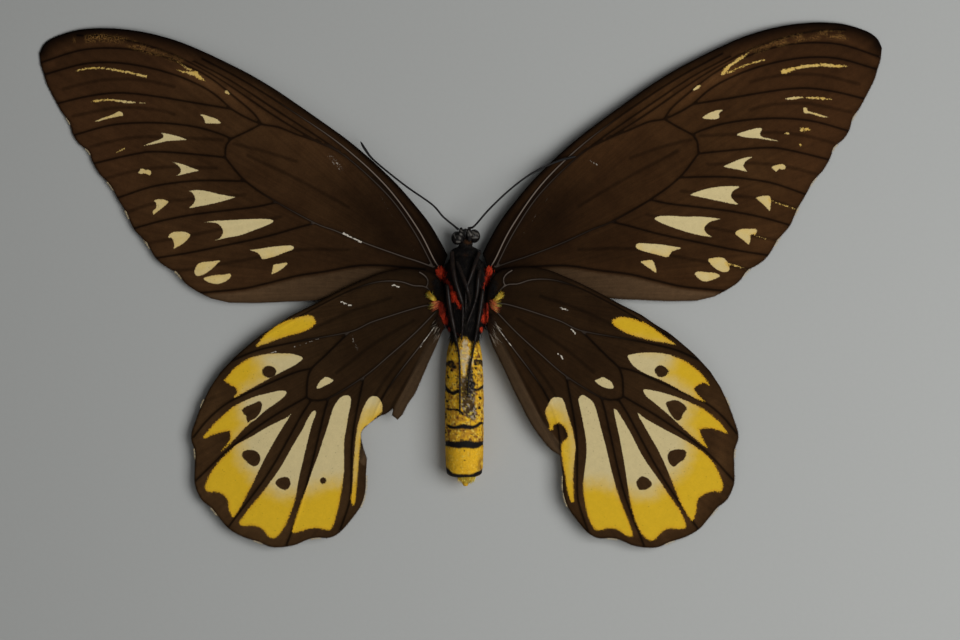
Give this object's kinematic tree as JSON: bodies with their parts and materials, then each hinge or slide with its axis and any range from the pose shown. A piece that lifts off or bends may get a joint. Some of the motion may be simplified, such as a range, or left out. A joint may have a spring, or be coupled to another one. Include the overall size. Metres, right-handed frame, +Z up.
{
  "type": "butterfly specimen",
  "caption": "Set birdwing butterfly lying on its back with spread wings, veined membranes, folded legs, antennae, coiled tongue and ringed abdomen.",
  "frame": {"origin": "on the floor under the middle of the thorax, on the flat of its back", "axes": "+Z up, which is the underside of the animal; +Y towards the head; +X across the wings"},
  "size_m": [0.2217, 0.138, 0.0132],
  "materials": {
    "forewing": "matt scaled membrane, dark brown with cream marks",
    "hindwing": "matt scaled membrane, dark brown with cream to golden fields",
    "thorax": "black hair with red tufts at the wing roots",
    "head": "short black hair",
    "eye": "faceted, glossy black",
    "mouthparts": "dark brown, satin",
    "antenna": "black, satin",
    "leg": "glossy black",
    "abdomen": "golden scales with black rings and a cream belly line"
  },
  "bodies": {
    "root": {"forewing_left": "forewing", "forewing_right": "forewing", "hindwing_left": "hindwing", "hindwing_right": "hindwing", "thorax": "thorax", "head": "head", "eye_left": "eye", "eye_right": "eye", "palp_left": "mouthparts", "palp_right": "mouthparts", "proboscis": "mouthparts", "antenna_left": "antenna", "antenna_right": "antenna", "foreleg_left": "leg", "foreleg_right": "leg", "midleg_left": "leg", "midleg_right": "leg", "hindleg_left": "leg", "hindleg_right": "leg", "abdomen": "abdomen"}
  },
  "joints": []
}
